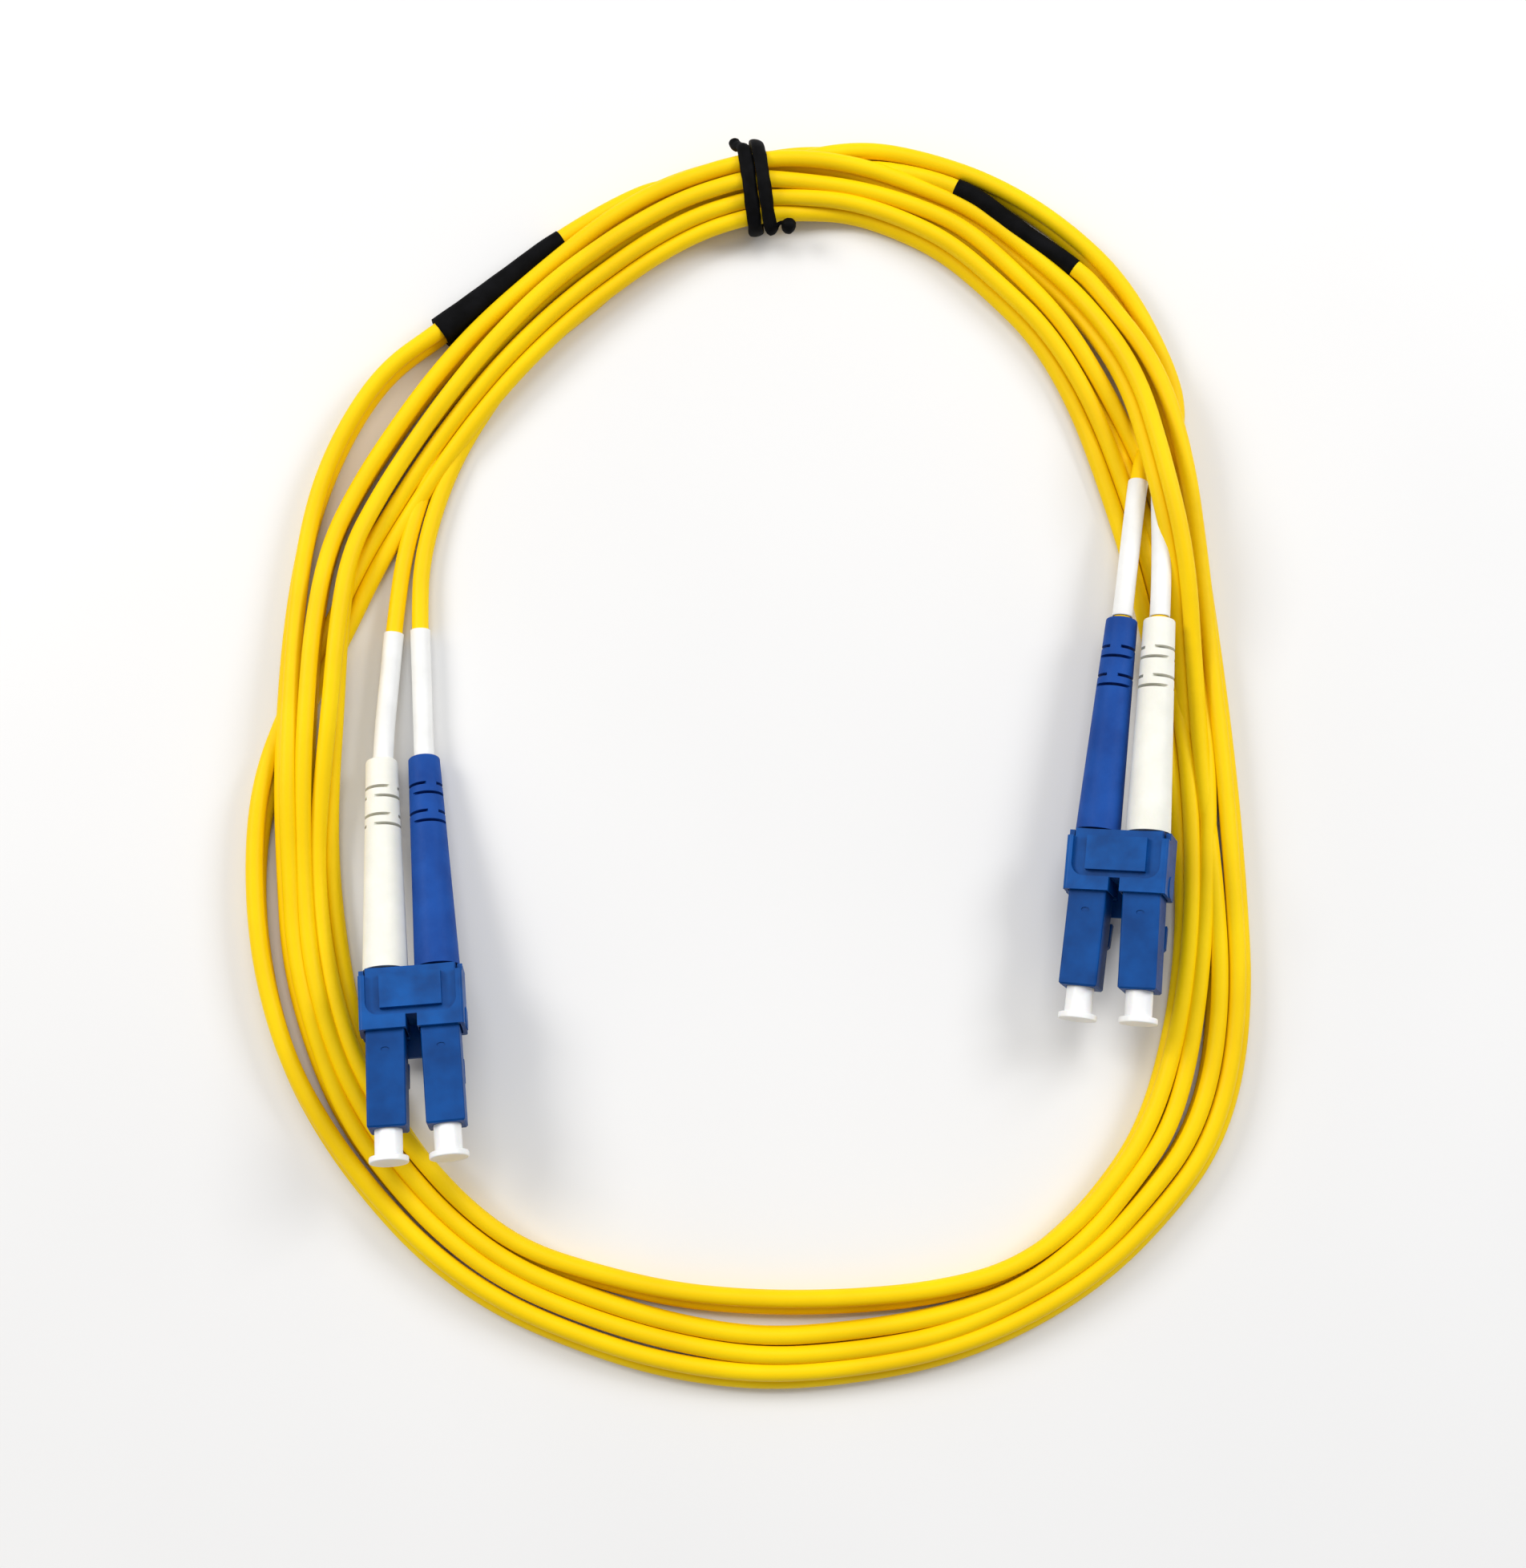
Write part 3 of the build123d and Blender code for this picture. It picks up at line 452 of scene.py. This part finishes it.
LOOKS = {
    "jacket_yellow": mottled(
        (0.86, 0.55, 0.001), (0.96, 0.66, 0.001),
        scale=60, rough=(0.4, 0.55), bump=0.25, fine=1600, gloss=0.12, subsurface=0.06,
    ),
    "shrink_black": mottled(
        (0.002, 0.002, 0.002), (0.005, 0.005, 0.006),
        scale=500, rough=(0.55, 0.75), bump=0.6, fine=2200, gloss=0.05,
    ),
    "tie_black": mottled(
        (0.001, 0.001, 0.001), (0.004, 0.004, 0.005),
        scale=700, rough=(0.5, 0.7), bump=0.5, fine=1800, gloss=0.06,
    ),
    "label_white": mottled(
        (0.80, 0.80, 0.78), (0.88, 0.88, 0.86),
        scale=250, rough=(0.4, 0.55), bump=0.3, fine=1500, gloss=0.3,
    ),
    "boot_blue": mottled(
        (0.001, 0.045, 0.25), (0.003, 0.066, 0.33),
        scale=260, rough=(0.5, 0.68), bump=0.45, fine=2600, gloss=0.2,
    ),
    "boot_white": mottled(
        (0.80, 0.79, 0.70), (0.87, 0.86, 0.78),
        scale=260, rough=(0.5, 0.65), bump=0.4, fine=2600, gloss=0.3, subsurface=0.1,
    ),
    "plug_blue": mottled(
        (0.0, 0.042, 0.19), (0.001, 0.066, 0.28),
        scale=300, rough=(0.36, 0.52), bump=0.25, fine=2400, gloss=0.12,
    ),
    "clip_blue": mottled(
        (0.0, 0.048, 0.21), (0.001, 0.084, 0.34),
        scale=300, rough=(0.34, 0.5), bump=0.25, fine=2400, gloss=0.14,
    ),
    "cap_white": mottled(
        (0.82, 0.82, 0.81), (0.90, 0.90, 0.89),
        scale=300, rough=(0.3, 0.45), bump=0.2, fine=1800, gloss=0.4, subsurface=0.2,
    ),
    "ceramic": mottled(
        (0.84, 0.84, 0.82), (0.90, 0.90, 0.88),
        scale=300, rough=(0.1, 0.18), bump=0.05, fine=1500, gloss=0.5, coat=0.4,
    ),
    "nickel": metal((0.62, 0.60, 0.55), rough=(0.22, 0.36)),
    "spring_steel": metal((0.52, 0.52, 0.53), rough=(0.2, 0.32)),
    "fibre_white": mottled(
        (0.82, 0.82, 0.78), (0.9, 0.9, 0.86),
        scale=300, rough=(0.3, 0.42), bump=0.2, fine=1800, gloss=0.4,
    ),
}
materials = {slot: material(slot, build) for slot, build in LOOKS.items()}

for subpart in frame["record"]["subparts"]:
    node = bpy.data.objects[subpart["node"]]
    look = materials[subpart["material_slot"]]
    if node.material_slots:
        for place in node.material_slots:
            place.material = look
    else:
        node.data.materials.append(look)


def dress(piece, slot):
    """Give a piece its material and fasten it to the fixed body."""
    piece.data.materials.append(materials[slot])
    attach(piece, "root")


# ---------------------------------------------------------------- label sleeves round the legs
LABEL_LENGTH = {"end_a": 16.2, "end_b": 18.0}
LABEL_GAP = 0.05
LABEL_R = 1.25
LABEL_BORE_R = 1.07
LABEL_RIM = 0.06
LABEL_WAIST = 0.03
LABEL_RIPPLE = 0.012
LABEL_RIPPLE_RATE = 7
LABEL_SPARE = 3.0  # extra length of strand looked at, for the part inside the boot
LABEL_STEPS = 181
AROUND = 28
ANGLES = [2 * pi * k / AROUND for k in range(AROUND)]


def frame_across(way):
    """Two directions square to a way: level, and upwards."""
    side = way.cross(Vector((0, 0, 1))).normalized()
    return side, side.cross(way).normalized()


def label_sleeve(name):
    """A shrunk sleeve that follows the strand: rolled edges, a slight waist and a faint ripple."""
    colour = name.split("_")[2]
    tail, nose = boot_tail(name)
    length = LABEL_LENGTH[name[:5]]
    points = lines[colour]
    k = min(range(len(points)), key=lambda k: (points[k] - tail * MM).length)
    step = 1 if name.startswith("end_a") else -1
    run, total = [points[k]], 0.0
    while total < (length + LABEL_SPARE) * MM:
        k += step
        total += (points[k] - run[-1]).length
        run.append(points[k])
    path, ways = resampled(run, LABEL_STEPS)
    beyond = [(tail * MM - point).dot(nose) for point in path]
    first = next(j for j, distance in enumerate(beyond) if distance >= LABEL_GAP * MM)
    last = first + round(length * MM * (LABEL_STEPS - 1) / total)
    path, ways = path[first:last + 1], ways[first:last + 1]
    rings = []
    inner = []
    for j, (point, way) in enumerate(zip(path, ways)):
        side, up = frame_across(way)
        t = j / (len(path) - 1)
        ripple = LABEL_RIPPLE * sin(LABEL_RIPPLE_RATE * t + len(name))
        radius = LABEL_R + (ripple - LABEL_WAIST) * sin(pi * t)
        rings.append([point + (side * cos(a) + up * sin(a)) * (radius * MM) for a in ANGLES])
        inner.append([point + (side * cos(a) + up * sin(a)) * (LABEL_BORE_R * MM) for a in ANGLES])
    rim = LABEL_RIM * MM
    lip_first = [p.lerp(q, 0.5) - ways[0] * rim for p, q in zip(rings[0], inner[0])]
    lip_last = [p.lerp(q, 0.5) + ways[-1] * rim for p, q in zip(rings[-1], inner[-1])]
    return skin(f"{name}_shrunk_label", [inner[0], lip_first] + rings + [lip_last, inner[-1]])


for name in PLUG_SIDE:
    piece = label_sleeve(name)
    dress(piece, "label_white")
    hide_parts(f"{name}_label_sleeve")

# ---------------------------------------------------------------- black sleeves where the cord splits
SPLIT_HALF = {"end_a": (1.2, 1.14), "end_b": (1.72, 1.14)}  # half width at the start and at the end
SPLIT_ROOF = 1.18  # most that the sleeve stands above and below the middles of the strands
SPLIT_RIPPLE = 0.02
SPLIT_RIPPLE_RATES = (9, 23)
SPLIT_LIP = 0.08
SPLIT_LIP_SHARE = 0.07
SPLIT_BORE_SHARE = 0.16
SPLIT_STEPS = 40
ROUNDING = 6


def upper(angle):
    """+1 on the upper half of a section, -1 on the lower half and 0 between them."""
    height = round(sin(angle), ROUNDING)
    return (height > 0) - (height < 0)


def split_sleeve(end):
    """Heat-shrink drawn round both strands: an oval that tightens towards the legs."""
    (x1, y1), (x2, y2) = SLEEVES[end]
    start = Vector((x1, y1, SLEEVE_MIDDLE)) * MM
    finish = Vector((x2, y2, SLEEVE_MIDDLE)) * MM
    runs = []
    for colour in ("white", "blue"):
        run, _ = resampled(cut_out(lines[colour], start, finish), SPLIT_STEPS)
        runs.append(run)
    rings = []
    wide, narrow = SPLIT_HALF[end]
    rate, fast_rate = SPLIT_RIPPLE_RATES
    for j in range(SPLIT_STEPS):
        top, low = runs[0][j], runs[1][j]
        middle = (top + low) / 2
        t = j / (SPLIT_STEPS - 1)
        way = (runs[0][min(j + 1, SPLIT_STEPS - 1)] - runs[0][max(j - 1, 0)]).normalized()
        up = (top - low).normalized()
        side = way.cross(up).normalized()
        ripple = SPLIT_RIPPLE * sin(rate * t) * sin(fast_rate * t)
        half = (wide + (narrow - wide) * t + ripple) * MM
        reach, roof = (top - low).length / 2, min(half, SPLIT_ROOF * MM)
        rings.append([
            middle + up * (reach * upper(a) + roof * sin(a)) + side * (half * cos(a)) for a in ANGLES
        ])
    ways = (rings[0][0] - rings[1][0]).normalized(), (rings[-1][0] - rings[-2][0]).normalized()
    ends = []
    for ring, way in ((rings[0], ways[0]), (rings[-1], ways[1])):
        centre = sum(ring, Vector()) / len(ring)
        lip = [p.lerp(centre, SPLIT_LIP_SHARE) + way * (SPLIT_LIP * MM) for p in ring]
        bore = [p.lerp(centre, SPLIT_BORE_SHARE) for p in ring]
        ends.append((bore, lip))
    return skin(f"{end}_shrunk_split", [ends[0][0], ends[0][1]] + rings + [ends[1][1], ends[1][0]])


for end in ENDS:
    piece = split_sleeve(end)
    dress(piece, "shrink_black")
    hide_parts(f"{end}_split_sleeve")

# ---------------------------------------------------------------- twist tie
TIE_CENTRE = Vector((-1.5, 90.8, 0))
TIE_ALONG = Vector((0.990, 0.139, 0))
TIE_ACROSS = Vector((-0.139, 0.990, 0))
TIE_STEPS = 240
TIE_ON_FLOOR = 0.1
TIE_RIPPLES = ((0.04, 1.3), (0.02, 3.1))  # share of the width, and rate along the wire

# The wire's way round the bundle: offset along the cord, offset across it (outwards +), height.
TIE_PATH = [
    (-2.1, 6.3, 4.6), (-1.95, 5.4, 4.9), (-1.6, 4.8, 5.4), (-1.05, 4.5, 6.2), (-0.93, 2.4, 7.0),
    (-0.93, 0.0, 6.9), (-0.94, -2.6, 6.2), (-0.94, -4.9, 5.2), (-0.92, -6.0, 3.4), (-0.6, -5.4, 1.0),
    (-0.3, -3.0, 0.3), (0.0, 0.0, 0.3), (0.3, 3.0, 0.3), (0.6, 5.2, 0.9), (0.75, 5.9, 3.2),
    (0.85, 5.2, 5.6), (0.85, 3.2, 6.9), (0.88, 0.6, 7.2), (0.9, -2.2, 6.6), (0.92, -5.0, 5.3),
    (1.1, -6.3, 4.2), (1.7, -6.1, 3.8), (2.3, -5.4, 4.0), (2.9, -5.8, 4.2), (4.1, -6.6, 4.0),
]
# Distance from the wire's first end (or back from its last), half width and half thickness there.
TIE_FIRST = [(0.0, 0.3, 0.25), (0.3, 0.68, 0.6), (1.7, 0.78, 0.62), (2.3, 0.7, 0.45), (3.2, 0.92, 0.4)]
TIE_LAST = [
    (0.0, 0.35, 0.3), (0.25, 0.95, 0.85), (0.9, 1.2, 1.05), (1.5, 0.95, 0.8), (1.85, 0.3, 0.22),
    (2.6, 0.3, 0.22), (3.4, 0.92, 0.4),
]


def tie_line():
    """Points along the wire, read from its own spline."""
    controls = []
    for along, across, height in TIE_PATH:
        controls.append((TIE_CENTRE + TIE_ALONG * along + TIE_ACROSS * across + Vector((0, 0, height))) * MM)
    return points_along(spline_curve("tie_path", controls, LINE_RESOLUTION))


def twist_tie():
    """Two wraps of flattened coated wire, with a knob at each end."""
    points = tie_line()
    total = sum((b - a).length for a, b in zip(points, points[1:])) / MM
    path, ways = resampled(points, TIE_STEPS)
    rings = []
    side = TIE_ALONG
    for j, (point, way) in enumerate(zip(path, ways)):
        gone = total * j / (TIE_STEPS - 1)
        wide, thick = between(TIE_FIRST, gone) if gone < total / 2 else between(TIE_LAST, total - gone)
        thick = min(thick, point.z / MM - TIE_ON_FLOOR)
        wide *= 1 + sum(share * sin(rate * gone) for share, rate in TIE_RIPPLES)
        side = (side - way * side.dot(way)).normalized()
        outward = side.cross(way).normalized()
        rings.append([point + (side * (cos(a) * wide) + outward * (sin(a) * thick)) * MM for a in ANGLES])
    return skin("twist_tie_wire", rings, capped=True)


tie = twist_tie()
dress(tie, "tie_black")
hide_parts("twist_tie")

# ---------------------------------------------------------------- the strands, given their material; the CAD legs and coil hidden
for colour, piece in strands.items():
    dress(piece, "jacket_yellow")
    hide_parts(f"end_a_{colour}_leg", f"end_b_{colour}_leg")
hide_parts("cord_coil")

# ---------------------------------------------------------------- floor and light
FLOOR_HALF_M = 1.2
FLOOR_DOWN_M = 0.0001
FLOOR_CORNERS = ((-1, -1), (1, -1), (1, 1), (-1, 1))
FLOOR_LOOK = mottled(
    (0.79, 0.785, 0.775), (0.83, 0.825, 0.815), scale=8, rough=(0.6, 0.75), bump=0.1, fine=900, gloss=0.2,
)
floor = new_piece(
    "floor", [(x * FLOOR_HALF_M, y * FLOOR_HALF_M, -FLOOR_DOWN_M) for x, y in FLOOR_CORNERS], [(0, 1, 2, 3)],
)
floor.data.materials.append(material("floor", FLOOR_LOOK))

WORLD_COLOUR = (0.96, 0.97, 1.0)
WORLD_STRENGTH = 0.42
world = bpy.data.worlds.new("world")
world.use_nodes = True
background = world.node_tree.nodes["Background"]
background.inputs["Color"].default_value = (*WORLD_COLOUR, 1)
background.inputs["Strength"].default_value = WORLD_STRENGTH
bpy.context.scene.world = world

# Each light: name, place and size in metres, power in watts, colour. All are aimed at one point.
LIGHTS = [
    ("left_soft", (-0.55, 0.25, 0.5), 0.3, 2.9, (1, 0.98, 0.95)),
    ("right_soft", (0.58, 0.3, 0.52), 0.3, 2.9, (0.97, 0.98, 1)),
    ("top_soft", (0.0, 0.4, 0.75), 0.45, 2.0, (1, 1, 1)),
]
LIGHT_AIM = Vector((0, 0.02, 0))
for name, place, size, power, colour in LIGHTS:
    lamp = bpy.data.lights.new(name, "AREA")
    lamp.size = size
    lamp.energy = power
    lamp.color = colour
    light = bpy.data.objects.new(name, lamp)
    light.location = place
    light.rotation_euler = (LIGHT_AIM - Vector(place)).to_track_quat("-Z", "Y").to_euler()
    bpy.context.scene.collection.objects.link(light)
